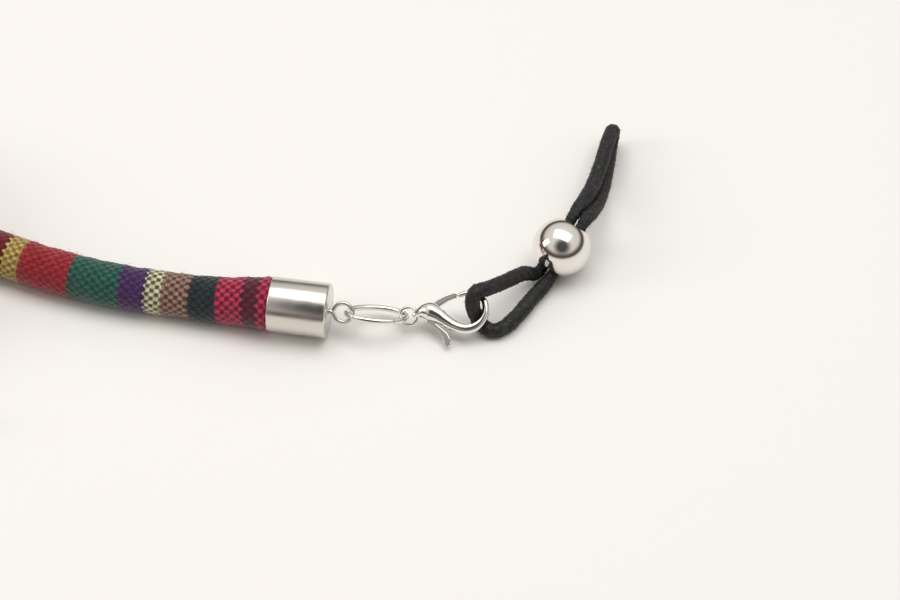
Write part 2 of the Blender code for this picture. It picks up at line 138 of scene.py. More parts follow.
# Woven strap: a tube 6 mm across, woven in plain weave from dark lengthwise warps and
# cotton wefts dyed in bands, stuffed with filler and glued into a metal cap at each end. Its
# spare length is wound in a long coil whose second turn lies on the first.
WARPS = 34
WEFT_PITCH = 0.66 * MM
STRAP_ROUTE = [
    (-16.0, -5.0, 3.7), (-20.5, -4.3, 3.7), (-23.6, -3.8, 3.7), (-27.2, -3.2, 3.5),
    (-31.0, -2.6, 3.1), (-34.8, -1.9, 3.0), (-41.0, -0.8, 3.0), (-47.0, 0.6, 3.0),
    (-54.0, 2.9, 3.0), (-61.0, 5.8, 3.0), (-67.0, 8.6, 3.0), (-73.5, 12.1, 3.0),
    (-80.5, 16.0, 3.0), (-88.0, 20.0, 3.0), (-94.5, 22.8, 3.0), (-101.0, 24.0, 3.0),
    (-115.0, 24.0, 3.0), (-130.0, 24.0, 3.0), (-136.3, 22.9, 3.0), (-141.9, 19.7, 3.0),
    (-146.0, 14.8, 3.0), (-148.2, 8.7, 3.0), (-148.2, 2.3, 3.0), (-146.0, -3.7, 3.0),
    (-141.9, -8.7, 3.0), (-136.3, -11.9, 3.0), (-130.0, -13.0, 3.0), (-115.0, -13.0, 3.0),
    (-103.0, -13.0, 3.0), (-96.0, -13.0, 3.5), (-90.0, -13.0, 4.6), (-83.7, -11.9, 6.2),
    (-78.1, -8.7, 7.7), (-74.0, -3.7, 8.7), (-71.8, 2.3, 9.1), (-71.8, 8.7, 9.2),
    (-74.0, 14.8, 9.2), (-78.1, 19.7, 9.2), (-83.7, 22.9, 9.2), (-90.0, 24.0, 9.2),
    (-105.0, 24.0, 9.2), (-120.0, 24.0, 9.2), (-134.0, 24.0, 9.2), (-141.0, 24.0, 9.0),
    (-148.2, 22.9, 8.2), (-154.8, 19.4, 7.0), (-160.0, 14.1, 5.6), (-163.3, 7.6, 4.4),
    (-164.3, 0.8, 3.5), (-163.2, -6.4, 3.0), (-159.8, -13.1, 3.0), (-154.6, -18.2, 3.0),
    (-148.0, -21.5, 3.0), (-141.0, -22.5, 3.1), (-134.0, -22.5, 3.5), (-129.0, -22.5, 3.7),
    (-124.9, -22.5, 3.7), (-117.3, -22.5, 3.7),
]


def smooth_route(points, spacing, closed=False):
    """Evenly spaced points, in metres, on the smooth curve through a route in table millimetres."""
    count = len(points)
    knots = [table_point(*p) for p in points]

    def knot(i):
        return knots[i % count] if closed else knots[max(0, min(count - 1, i))]

    fine = []
    for i in range(count if closed else count - 1):
        a, b, c, d = knot(i - 1), knot(i), knot(i + 1), knot(i + 2)
        for step in range(24):
            t = step / 24
            fine.append(0.5 * ((2 * b) + (c - a) * t + (2 * a - 5 * b + 4 * c - d) * t * t
                               + (3 * b - a - 3 * c + d) * t ** 3))
    fine.append(knots[0] if closed else knots[-1])
    fine = np.array(fine)
    steps = np.linalg.norm(np.diff(fine, axis=0), axis=1)
    along = np.concatenate([[0], np.cumsum(steps)])
    pieces = max(8, round(along[-1] / spacing))
    wanted = np.linspace(0, along[-1], pieces + 1)
    return np.stack([np.interp(wanted, along, fine[:, k]) for k in range(3)], axis=1), along[-1]


def tube_frames(path, closed=False):
    """Two unit vectors across the path at each point, turning as little as they can."""
    tangents = np.gradient(path, axis=0)
    if closed:
        tangents[0] = tangents[-1] = (path[1] - path[0]) + (path[-1] - path[-2])
    tangents /= np.linalg.norm(tangents, axis=1)[:, None]
    side = np.cross(tangents[0], (0, 0, 1.0))
    sides = [side / np.linalg.norm(side)]
    for t in tangents[1:]:
        moved = sides[-1] - t * np.dot(sides[-1], t)
        sides.append(moved / np.linalg.norm(moved))
    sides = np.array(sides)
    ups = np.cross(sides, tangents)
    if closed:
        last = math.atan2(np.dot(sides[-1], ups[0]), np.dot(sides[-1], sides[0]))
        turn = np.linspace(0, -last, len(path))[:, None]
        sides, ups = (sides * np.cos(turn) + ups * np.sin(turn),
                      ups * np.cos(turn) - sides * np.sin(turn))
    return sides, ups


def rolled_tube(name, path, around, surface, closed=False):
    """A flat grid rolled into a tube along a path. surface gives the radius from the share
    round the tube and the length along it, both arrays. The UV map keeps those two values."""
    rows = len(path)
    work = bmesh.new()
    bmesh.ops.create_grid(work, x_segments=around, y_segments=rows - 1, size=0.5, calc_uvs=True)
    work.verts.ensure_lookup_table()
    flat = np.array([v.co[:] for v in work.verts])
    share = flat[:, 0] + 0.5
    row = np.rint((flat[:, 1] + 0.5) * (rows - 1)).astype(int)
    steps = np.linalg.norm(np.diff(path, axis=0), axis=1)
    along = np.concatenate([[0], np.cumsum(steps)])
    sides, ups = tube_frames(path, closed)
    angle = 2 * np.pi * share
    radius = surface(share, along[row])[:, None]
    placed = path[row] + radius * (sides[row] * np.cos(angle)[:, None]
                                   + ups[row] * np.sin(angle)[:, None])
    layer = work.loops.layers.uv.verify()
    for face in work.faces:
        for loop in face.loops:
            i = loop.vert.index
            loop[layer].uv = (share[i], along[row[i]] * 10)
    for v, place in zip(work.verts, placed):
        v.co = place
    bmesh.ops.remove_doubles(work, verts=work.verts, dist=1e-7)
    ends = [e for e in work.edges if e.is_boundary]
    if ends:
        bmesh.ops.holes_fill(work, edges=ends, sides=0)
    bmesh.ops.recalc_face_normals(work, faces=work.faces)
    mesh = bpy.data.meshes.new(name)
    work.to_mesh(mesh)
    work.free()
    mesh.shade_smooth()
    obj = bpy.data.objects.new(name, mesh)
    scene.collection.objects.link(obj)
    return obj


CAP_MOUTH_IN = 5.8 * MM
ROUTE_PAST_STRAP = 2.1 * MM
cut = round(ROUTE_PAST_STRAP / (WEFT_PITCH / 2))
strap_path = smooth_route(STRAP_ROUTE, WEFT_PITCH / 2)[0][cut:-cut]
strap_length = float(np.linalg.norm(np.diff(strap_path, axis=0), axis=1).sum())


def woven_radius(share, along):
    """The tube swells towards each cap, ends in a rolled edge, and is thin inside the cap."""
    near = np.minimum(along, strap_length - along) - CAP_MOUTH_IN
    swell = np.clip(1 - near / (12 * MM), 0, 1)
    radius = 2.93 + 0.55 * swell ** 1.3
    radius += 0.14 * np.exp(-((near - 0.8 * MM) / (0.55 * MM)) ** 2)
    radius = np.where(near < 0.05 * MM, 3.05, radius)
    relief = np.cos(np.pi * WARPS * share) * np.cos(np.pi * along / WEFT_PITCH)
    slack = np.sin(along * 900 + 4 * np.pi * share) + np.sin(along * 2300 - 6 * np.pi * share)
    slack += np.sin(along * 1430 + 2 * np.pi * share)
    return (radius + 0.075 * relief + 0.028 * slack) * MM


strap = rolled_tube("woven_strap", strap_path, WARPS * 2, woven_radius)

weave = bpy.data.materials.new("woven_bands")
weave.use_nodes = True
nodes, links = weave.node_tree.nodes, weave.node_tree.links
weave_shader = nodes["Principled BSDF"]


def math_node(tree, operation, a, b=None, c=None):
    """A Math node whose inputs are numbers or other nodes' outputs."""
    node = tree.nodes.new("ShaderNodeMath")
    node.operation = operation
    for socket, value in zip(node.inputs, (a, b, c)):
        if value is None:
            continue
        if isinstance(value, (int, float)):
            socket.default_value = value
        else:
            tree.links.new(value, socket)
    return node.outputs[0]


def ramp_node(tree, factor, stops, constant=False):
    """A colour ramp through (place, colour) stops."""
    node = tree.nodes.new("ShaderNodeValToRGB")
    if constant:
        node.color_ramp.interpolation = "CONSTANT"
    elements = node.color_ramp.elements
    while len(elements) < len(stops):
        elements.new(0.5)
    for element, (place, colour) in zip(elements, stops):
        element.position = place
        element.color = (*colour, 1)
    tree.links.new(factor, node.inputs[0])
    return node.outputs[0]


# Each band is (its length in millimetres, its weft's colour, the warp colour seen between).
BANDS = [
    (1.3, (0.50, 0.026, 0.085), (0.11, 0.010, 0.026)),
    (2.2, (0.110, 0.016, 0.032), (0.060, 0.009, 0.018)),
    (3.7, (0.52, 0.030, 0.092), (0.12, 0.010, 0.026)),
    (3.7, (0.018, 0.033, 0.037), (0.010, 0.015, 0.018)),
    (3.6, (0.33, 0.195, 0.145), (0.085, 0.042, 0.040)),
    (2.4, (0.62, 0.60, 0.36), (0.090, 0.070, 0.060)),
    (3.6, (0.078, 0.028, 0.130), (0.038, 0.015, 0.062)),
    (6.9, (0.026, 0.120, 0.085), (0.013, 0.055, 0.046)),
    (7.0, (0.37, 0.020, 0.030), (0.20, 0.012, 0.020)),
    (2.6, (0.50, 0.39, 0.105), (0.25, 0.130, 0.050)),
    (3.2, (0.20, 0.012, 0.020), (0.09, 0.008, 0.012)),
]
repeat = sum(band[0] for band in BANDS)
weft_stops, warp_stops, start = [], [], 0.0
for length, weft, warp in BANDS:
    weft_stops.append((start / repeat, weft))
    warp_stops.append((start / repeat, warp))
    start += length

uv = nodes.new("ShaderNodeUVMap")
split = nodes.new("ShaderNodeSeparateXYZ")
links.new(uv.outputs[0], split.inputs[0])
tree = weave.node_tree
length_mm = math_node(tree, "MULTIPLY", split.outputs["Y"], 100.0)
from_cap = math_node(tree, "SUBTRACT", length_mm, CAP_MOUTH_IN / MM)
picks = math_node(tree, "DIVIDE", length_mm, WEFT_PITCH / MM)
ends = math_node(tree, "MULTIPLY", split.outputs["X"], WARPS)
wave_round = math_node(tree, "COSINE", math_node(tree, "MULTIPLY", ends, math.pi))
wave_along = math_node(tree, "COSINE", math_node(tree, "MULTIPLY", picks, math.pi))
relief = math_node(tree, "MULTIPLY", wave_round, wave_along)
stepped = math_node(tree, "MULTIPLY_ADD", wave_round, 0.22, from_cap)
in_repeat = math_node(tree, "FRACT", math_node(tree, "DIVIDE", stepped, repeat))
weft_colour = ramp_node(tree, in_repeat, weft_stops, True)
warp_colour = ramp_node(tree, in_repeat, warp_stops, True)
shows = nodes.new("ShaderNodeMapRange")
shows.inputs["From Min"].default_value = -0.42
shows.inputs["From Max"].default_value = 0.22
links.new(relief, shows.inputs["Value"])
cloth = nodes.new("ShaderNodeMix")
cloth.data_type = "RGBA"
links.new(shows.outputs[0], cloth.inputs["Factor"])
links.new(warp_colour, cloth.inputs["A"])
links.new(weft_colour, cloth.inputs["B"])
fibres = nodes.new("ShaderNodeTexNoise")
fibres.inputs["Scale"].default_value = 2600
fibres.inputs["Detail"].default_value = 3
place = nodes.new("ShaderNodeTexCoord")
links.new(place.outputs["Object"], fibres.inputs["Vector"])
shade = nodes.new("ShaderNodeMapRange")
shade.inputs["From Min"].default_value = 0.3
shade.inputs["From Max"].default_value = 0.7
shade.inputs["To Min"].default_value = 0.62
shade.inputs["To Max"].default_value = 1.35
links.new(fibres.outputs["Fac"], shade.inputs["Value"])
# Painted shade: the cloth colour is darkened in the lengthwise grooves between warp ends, with a
# faint painted highlight on their crests.
groove_shade = math_node(tree, "MULTIPLY_ADD", math_node(tree, "ABSOLUTE", wave_round), 0.42, 0.68)
tinted = nodes.new("ShaderNodeVectorMath")
tinted.operation = "SCALE"
links.new(cloth.outputs["Result"], tinted.inputs[0])
links.new(math_node(tree, "MULTIPLY", shade.outputs[0], groove_shade), tinted.inputs["Scale"])
links.new(tinted.outputs[0], weave_shader.inputs["Base Color"])
bump_height = math_node(tree, "ADD", math_node(tree, "MULTIPLY", relief, 0.5), fibres.outputs["Fac"])
bump = nodes.new("ShaderNodeBump")
bump.inputs["Strength"].default_value = 0.55
bump.inputs["Distance"].default_value = 0.00012
links.new(bump_height, bump.inputs["Height"])
links.new(bump.outputs[0], weave_shader.inputs["Normal"])
weave_shader.inputs["Roughness"].default_value = 0.92
weave_shader.inputs["Specular IOR Level"].default_value = 0.2
weave_shader.inputs["Sheen Weight"].default_value = 0.35
weave_shader.inputs["Sheen Roughness"].default_value = 0.5
strap.data.materials.append(weave)
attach(strap, "strap")
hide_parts("strap_sleeve_lead", "strap_core_lead", "strap_coil", "strap_sleeve_tail",
            "strap_core_tail")


def loose_fibres(name, path, radius, spots, reach, surface, seed):
    """Short bent hairs that stand off a cord, each a thin three-sided spike. spots are the
    shares of the path's length where they root."""
    chance = random.Random(seed)
    sides, ups = tube_frames(path)
    work = bmesh.new()
    for spot in spots:
        i = min(len(path) - 2, int(spot * (len(path) - 1)))
        angle = chance.uniform(0, 2 * math.pi)
        outward = Vector(sides[i] * math.cos(angle) + ups[i] * math.sin(angle))
        tangent = Vector(path[i + 1] - path[i]).normalized() * chance.choice((-1, 1))
        lean = (outward * chance.uniform(0.25, 0.8) + tangent).normalized()
        length = chance.uniform(0.5, 1.0) * reach
        root = Vector(path[i]) + outward * (radius - 0.06 * MM) + lean * (length / 2)
        if root.z < 0.1 * MM:
            continue
        turn = lean.to_track_quat("Z", "Y").to_matrix().to_4x4()
        bmesh.ops.create_cone(work, segments=3, radius1=0.022 * MM, radius2=0.008 * MM,
                              depth=length, cap_ends=True, matrix=Matrix.Translation(root) @ turn)
    long_edges = [e for e in work.edges if e.calc_length() > 0.2 * MM]
    halves = bmesh.ops.subdivide_edges(work, edges=long_edges, cuts=1)["geom_inner"]
    for v in halves:
        if isinstance(v, bmesh.types.BMVert):
            v.co += noise.noise_vector(v.co * 1500) * 0.12 * MM
    bmesh.ops.recalc_face_normals(work, faces=work.faces)
    mesh = bpy.data.meshes.new(name)
    work.to_mesh(mesh)
    work.free()
    mesh.materials.append(surface)
    obj = bpy.data.objects.new(name, mesh)
    scene.collection.objects.link(obj)
    return obj


lint_colour = bpy.data.materials.new("loose_lint")
lint_colour.use_nodes = True
lint_shader = lint_colour.node_tree.nodes["Principled BSDF"]
lint_place = lint_colour.node_tree.nodes.new("ShaderNodeTexCoord")
lint_noise = lint_colour.node_tree.nodes.new("ShaderNodeTexNoise")
lint_noise.inputs["Scale"].default_value = 180
lint_colour.node_tree.links.new(lint_place.outputs["Object"], lint_noise.inputs["Vector"])
lint_tint = ramp_node(lint_colour.node_tree, lint_noise.outputs["Fac"],
                      [(0.35, (0.35, 0.03, 0.07)), (0.5, (0.30, 0.20, 0.18)),
                       (0.65, (0.10, 0.10, 0.12))])
lint_colour.node_tree.links.new(lint_tint, lint_shader.inputs["Base Color"])
lint_shader.inputs["Roughness"].default_value = 0.9
lint_spots = np.random.default_rng(7).uniform(0.014, 0.986, 2600)
lint = loose_fibres("strap_lint", strap_path, 3.05 * MM, lint_spots, 0.8 * MM, lint_colour, 11)
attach(lint, "strap")


# Temple loops: 2 mm waxed cotton cord, one closed loop at each end. It goes through the clasp's
# hook, twice through the bead, which pinches it, and round the temple of the glasses.
CORD_DIAMETER = 0.002
PINCHED_RADIUS = 0.78
PINCH_REACH = 6.0
TEMPLE_LOOPS = {
    "a": [
        (14.4, 6.6, 4.0), (12.0, 3.7, 1.5), (9.9, 2.4, 2.7), (7.2, -0.4, 4.2), (5.0, -2.7, 5.6),
        (3.5, -3.7, 6.1), (3.0, -4.4, 5.2), (3.1, -4.7, 3.7), (3.5, -4.6, 2.3), (4.2, -5.2, 1.2),
        (5.6, -6.2, 1.0), (7.3, -5.5, 1.0), (9.0, -3.6, 1.0), (11.0, -0.6, 1.0), (13.4, 2.5, 1.4),
        (15.8, 5.4, 4.0), (18.2, 8.3, 6.6), (19.3, 10.9, 5.6), (20.2, 13.9, 4.0), (21.2, 18.6, 2.2),
        (22.0, 23.4, 1.3), (22.6, 27.3, 1.3), (22.9, 28.4, 2.4), (22.7, 27.6, 3.8), (21.9, 24.6, 4.6),
        (20.9, 20.6, 4.8), (19.6, 16.0, 5.4), (18.2, 12.2, 6.4), (16.8, 9.5, 6.6),
    ],
    "b": [
        (-83.3, -20.8, 4.0), (-87.2, -20.8, 4.0), (-90.0, -20.2, 4.5), (-93.2, -19.7, 5.5),
        (-96.0, -19.9, 6.3), (-97.7, -21.1, 6.2), (-98.1, -21.9, 5.2), (-98.0, -22.2, 3.7),
        (-97.6, -22.1, 2.3), (-96.9, -22.7, 1.2), (-95.5, -23.7, 1.0), (-93.4, -24.3, 1.0),
        (-91.0, -23.9, 1.5), (-89.0, -23.1, 2.8), (-87.2, -22.6, 4.0), (-83.3, -22.6, 4.0),
        (-79.4, -22.0, 3.1), (-77.2, -21.9, 2.1), (-73.5, -21.5, 1.1), (-69.5, -20.9, 1.0),
        (-66.0, -20.8, 1.1), (-64.6, -21.0, 2.4), (-65.4, -21.3, 3.8), (-68.5, -21.7, 4.3),
        (-72.0, -21.9, 3.5), (-75.8, -21.8, 3.4), (-79.4, -21.4, 4.8),
    ],
}
BEAD_CENTRES = {"a": (15.1, 6.0, 4.0), "b": (-83.3, -21.7, 4.0)}
HOOK_NOSES = {"a": (3.6, -3.5, 6.3), "b": (-97.5, -20.9, 6.4)}

waxed = bpy.data.materials.new("waxed_cotton")
waxed.use_nodes = True
tree = waxed.node_tree
nodes, links = tree.nodes, tree.links
wax_shader = nodes["Principled BSDF"]
place = nodes.new("ShaderNodeTexCoord")
strands = nodes.new("ShaderNodeTexNoise")
strands.inputs["Scale"].default_value = 1900
strands.inputs["Detail"].default_value = 4
links.new(place.outputs["Object"], strands.inputs["Vector"])
# The cord's colour follows the same noise as its bump: partly the strands' own tone, partly painted
# shade that darkens the bump's hollows.
strand_tone_and_hollow_shade = ramp_node(tree, strands.outputs["Fac"], [(0.3, (0.007, 0.007, 0.008)),
                                                      (0.55, (0.018, 0.018, 0.019)),
                                                      (0.75, (0.058, 0.058, 0.060))])
links.new(strand_tone_and_hollow_shade, wax_shader.inputs["Base Color"])
bump = nodes.new("ShaderNodeBump")
bump.inputs["Strength"].default_value = 0.7
bump.inputs["Distance"].default_value = 0.0001
links.new(strands.outputs["Fac"], bump.inputs["Height"])
links.new(bump.outputs[0], wax_shader.inputs["Normal"])
wax_shader.inputs["Roughness"].default_value = 0.62
wax_shader.inputs["Specular IOR Level"].default_value = 0.4

for end, route in TEMPLE_LOOPS.items():
    path, cord_length = smooth_route(route, 0.16 * MM, closed=True)
    bead = np.array(table_point(*BEAD_CENTRES[end]))
    from_bead = np.linalg.norm(path - bead, axis=1) / MM
    pinch = np.clip((from_bead - PINCH_REACH + 2) / 2, 0, 1)
    pinched = PINCHED_RADIUS + (CORD_DIAMETER / 2 / MM - PINCHED_RADIUS) * pinch
    distances = np.linspace(0, cord_length, len(path))

    def braided_radius(share, along):
        """Eight fine carriers cross on the bias, and wax fills most of the valleys."""
        lean = along / (0.62 * MM)
        cross = (np.cos(np.pi * (8 * share + lean)) * np.cos(np.pi * (8 * share - lean)))
        lumps = 0.02 * np.sin(along * 5200 + 2 * np.pi * share) + 0.015 * np.sin(along * 2100)
        return (np.interp(along, distances, pinched) + 0.075 * cross + lumps - 0.02) * MM

    loop = rolled_tube("waxed_loop_" + end, path, 32, braided_radius, closed=True)
    loop.data.materials.append(waxed)
    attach(loop, "loop_" + end)
    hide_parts("temple_cord_" + end)

    # Hairs stand off the braid all along, and it is frayed where it rubs on the hook's nose.
    outside = np.flatnonzero(from_bead > PINCH_REACH - 3.5) / len(path)
    picks_at = np.random.default_rng(3).integers(0, len(outside), 420)
    nose = table_point(*HOOK_NOSES[end])
    worn = int(np.argmin(np.linalg.norm(path - np.array(nose), axis=1))) / len(path)
    spots = np.concatenate([outside[picks_at], np.full(16, worn)])
    hairs = loose_fibres("cord_hairs_" + end, path, CORD_DIAMETER / 2, spots, 0.85 * MM, waxed, 5)
    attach(hairs, "loop_" + end)

# Metal ends: each has a drawn nickel end cap with a bent wire eye, an oval jump ring, a cast
# lobster clasp with a sprung lever, and a turned bead. They hang in each other as a chain, and
# are shaped here in millimetres, each in a frame of its own.
CAP_RADIUS = 3.7
CAP_LENGTH = 7.9
CAP_WALL = 0.4
CAP_END_WALL = 0.7
CAP_FILLET = 0.35
EYE_RADIUS = 1.3
EYE_WIRE = 0.28
EYE_STAND_OFF = 0.6
EYE_TILT = 56
RING_LENGTH = 8.9
RING_WIDTH = 5.5
RING_WIRE = 0.39
RING_TILT = -27
RING_CUT_FROM, RING_CUT_TO = -61, 297
LINK_GAP = 0.16
TAIL_LINK_GAP = 0.3
TAIL_EYE_RADIUS = 1.18
TAIL_EYE_WIRE = 0.25
RING_SLACK = EYE_RADIUS - EYE_WIRE - RING_WIRE - LINK_GAP
TAIL_SLACK = TAIL_EYE_RADIUS - TAIL_EYE_WIRE - RING_WIRE - TAIL_LINK_GAP
RING_REACH = RING_SLACK + RING_LENGTH - 2 * RING_WIRE + TAIL_SLACK
TAIL_HEIGHT = 2.1
LEVER_THICKNESS = 0.8
PIVOT = (2.9, 0.55)
HUB_RADIUS = 0.95
PIN_HOLE = 0.38
SLOT_START, SLOT_END, SLOT_HALF = 1.6, 4.8, 0.6
CLASP_HEADING, CLASP_PITCH, CLASP_ROLL = -4.0, 7.5, 30
CLASP_GRAIN, LEVER_GRAIN = 0.055, 0.045
BEAD_RADIUS = 4.0
BORE_RADIUS = 1.95
ENDS = {
    "a": dict(mouth=(-23.6, -3.84), cap=-8.9, tail=(-5.55, -4.55), bead=(50.0, 35.0)),
    "b": dict(mouth=(-124.9, -22.5), cap=0.0, tail=(-106.7, -22.1), bead=(0.0, 0.0)),
}


def placement(point, heading, pitch=0.0, roll=0.0):
    """A frame at a point: X along the heading, raised by the pitch, rolled about X."""
    turn = Matrix.Rotation(math.radians(heading), 4, "Z")
    turn = turn @ Matrix.Rotation(math.radians(-pitch), 4, "Y")
    return Matrix.Translation(point) @ turn @ Matrix.Rotation(math.radians(roll), 4, "X")


def placed(name, work, matrix, material):
    """The shape, in millimetres in its frame, as a smooth object standing at the origin."""
    bmesh.ops.transform(work, matrix=matrix @ Matrix.Diagonal((MM, MM, MM, 1)), verts=work.verts)
    bmesh.ops.recalc_face_normals(work, faces=work.faces)
    mesh = bpy.data.meshes.new(name)
    work.to_mesh(mesh)
    work.free()
    mesh.shade_smooth()
    mesh.set_sharp_from_angle(angle=math.radians(50))
    mesh.materials.append(material)
    obj = bpy.data.objects.new(name, mesh)
    scene.collection.objects.link(obj)
    return obj


def spun(profile, segments=112):
    """A closed (x, radius) outline turned about X."""
    work = bmesh.new()
    ring = [work.verts.new((x, 0, radius)) for x, radius in profile]
    edges = [work.edges.new((ring[i - 1], ring[i])) for i in range(len(ring))]
    bmesh.ops.spin(work, geom=ring + edges, cent=(0, 0, 0), axis=(1, 0, 0), dvec=(0, 0, 0),
                   angle=2 * math.pi, steps=segments, use_merge=True)
    return work


def round_corner(x, y, radius, start, end, steps=6):
    angles = np.radians(np.linspace(start, end, steps + 1))
    return [(x + radius * math.cos(a), y + radius * math.sin(a)) for a in angles]


def smooth_line(points, steps=10):
    """Points, with as many values each as they come with, on the smooth curve through them."""
    knots = np.array(points, float)
    padded = np.vstack([2 * knots[0] - knots[1], knots, 2 * knots[-1] - knots[-2]])
    fine = []
    for i in range(1, len(knots)):
        a, b, c, d = padded[i - 1:i + 3]
        for t in np.arange(steps) / steps:
            fine.append(0.5 * (2 * b + (c - a) * t + (2 * a - 5 * b + 4 * c - d) * t * t
                               + (3 * b - a - 3 * c + d) * t ** 3))
    fine.append(knots[-1])
    return np.array(fine)


def wire(points, radii, around=20, closed=False, round_ends=False):
    """A round wire along points, with flat or rounded ends."""
    points = np.array(points, float)
    radii = np.broadcast_to(radii, len(points)).astype(float)
    if round_ends:
        for at, step in ((0, points[0] - points[1]), (-1, points[-1] - points[-2])):
            outward = step / np.linalg.norm(step) * radii[at]
            extra = [points[at] + outward * math.sin(a) for a in (0.5, 1.0, 1.45)]
            shrunk = [radii[at] * math.cos(a) for a in (0.5, 1.0, 1.45)]
            if at == 0:
                points = np.vstack([extra[::-1], points])
                radii = np.concatenate([shrunk[::-1], radii])
            else:
                points = np.vstack([points, extra])
                radii = np.concatenate([radii, shrunk])
    looped = np.vstack([points, points[:1]]) if closed else points
    sides, ups = tube_frames(looped, closed)
    work = bmesh.new()
    turn = np.linspace(0, 2 * np.pi, around, endpoint=False)
    rings = []
    for p, r, s, u in zip(points, radii, sides, ups):
        rings.append([work.verts.new(p + r * (s * math.cos(a) + u * math.sin(a))) for a in turn])
    for i in range(0 if closed else 1, len(rings)):
        for j in range(around):
            work.faces.new((rings[i - 1][j - 1], rings[i - 1][j], rings[i][j], rings[i][j - 1]))
    if not closed:
        work.faces.new(rings[0])
        work.faces.new(rings[-1][::-1])
    bmesh.ops.recalc_face_normals(work, faces=work.faces)
    return work


def slab(outline, low, high):
    """An outline in XY raised from low to high along Z."""
    work = bmesh.new()
    face = work.faces.new([work.verts.new((x, y, low)) for x, y in outline])
    raised = bmesh.ops.extrude_face_region(work, geom=[face])["geom"]
    lifted = [v for v in raised if isinstance(v, bmesh.types.BMVert)]
    bmesh.ops.translate(work, verts=lifted, vec=(0, 0, high - low))
    bmesh.ops.recalc_face_normals(work, faces=work.faces)
    return work


def cast(shapes, cutters, grain, passes):
    """The shapes fused and cut as in a mould, with the soft edges that tumbling leaves."""
    parts = []
    for work in shapes + cutters:
        mesh = bpy.data.meshes.new("mould_part")
        work.to_mesh(mesh)
        work.free()
        part = bpy.data.objects.new("mould_part", mesh)
        scene.collection.objects.link(part)
        parts.append(part)
    body = parts[0]
    for number, part in enumerate(parts[1:], 1):
        boolean = body.modifiers.new("join", "BOOLEAN")
        boolean.operation = "UNION" if number < len(shapes) else "DIFFERENCE"
        boolean.object = part
        boolean.solver = "EXACT"
    skin = body.modifiers.new("skin", "REMESH")
    skin.mode = "VOXEL"
    skin.voxel_size = grain
    tumble = body.modifiers.new("tumble", "SMOOTH")
    tumble.factor = 0.5
    tumble.iterations = passes
    bpy.context.view_layer.update()
    graph = bpy.context.evaluated_depsgraph_get()
    work = bmesh.new()
    work.from_object(body, graph)
    for part in parts:
        data = part.data
        bpy.data.objects.remove(part)
        bpy.data.meshes.remove(data)
    return work


def plated(name, colour, roughness, brushed):
    """Nickel plate: even and bright, or satin with fine marks round the piece."""
    material = bpy.data.materials.new(name)
    material.use_nodes = True
    tree = material.node_tree
    shader = tree.nodes["Principled BSDF"]
    shader.inputs["Metallic"].default_value = 1.0
    shader.inputs["Base Color"].default_value = (*colour, 1)
    place = tree.nodes.new("ShaderNodeTexCoord")
    wear = tree.nodes.new("ShaderNodeTexNoise")
    wear.inputs["Scale"].default_value = 700
    wear.inputs["Detail"].default_value = 4
    tree.links.new(place.outputs["Object"], wear.inputs["Vector"])
    gloss = tree.nodes.new("ShaderNodeMapRange")
    gloss.inputs["From Min"].default_value = 0.35
    gloss.inputs["From Max"].default_value = 0.7
    gloss.inputs["To Min"].default_value = roughness
    gloss.inputs["To Max"].default_value = roughness * 1.35
    tree.links.new(wear.outputs["Fac"], gloss.inputs["Value"])
    tree.links.new(gloss.outputs[0], shader.inputs["Roughness"])
    marks = tree.nodes.new("ShaderNodeTexNoise")
    marks.inputs["Scale"].default_value = 5200 if brushed else 1500
    marks.inputs["Detail"].default_value = 2
    tree.links.new(place.outputs["Object"], marks.inputs["Vector"])
    bump = tree.nodes.new("ShaderNodeBump")
    bump.inputs["Strength"].default_value = 0.12 if brushed else 0.03
    bump.inputs["Distance"].default_value = 0.00002
    tree.links.new(marks.outputs["Fac"], bump.inputs["Height"])
    tree.links.new(bump.outputs[0], shader.inputs["Normal"])
    return material


def set_piece(obj, body, slot, *nodes):
    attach(obj, body)
    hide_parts(*nodes)


satin = plated("satin_nickel", (0.70, 0.665, 0.62), 0.2, True)
bright = plated("bright_nickel", (0.84, 0.815, 0.775), 0.06, False)

CLASP_ROD = [
    (0.95, 0.15, 0.45), (1.5, 0.35, 0.8), (2.2, 0.5, 1.15), (3.0, 0.45, 1.35),
    (3.9, 0.0, 1.2), (4.8, -0.65, 0.98), (5.8, -1.3, 0.84), (6.9, -1.8, 0.78),
    (8.0, -1.95, 0.74), (9.1, -1.6, 0.68), (9.95, -0.8, 0.58), (10.4, 0.3, 0.5),
    (10.3, 1.5, 0.44), (9.6, 2.45, 0.4), (8.5, 2.85, 0.37), (7.6, 2.8, 0.35),
    (6.95, 2.62, 0.33),
]
LEVER_TOP = [(6.35, 2.98), (5.2, 2.62), (4.1, 2.1)]
LEVER_TAB = [
    (2.5, -1.05), (3.4, -1.65), (4.2, -2.4), (4.7, -3.2), (4.85, -4.0), (5.2, -4.35),
    (5.6, -4.1), (5.65, -3.3), (5.25, -2.5), (4.5, -1.85), (3.75, -1.2), (3.55, -0.6),
    (3.7, 0.3), (4.15, 1.1), (5.4, 1.85), (6.55, 2.25), (6.6, 2.8),
]

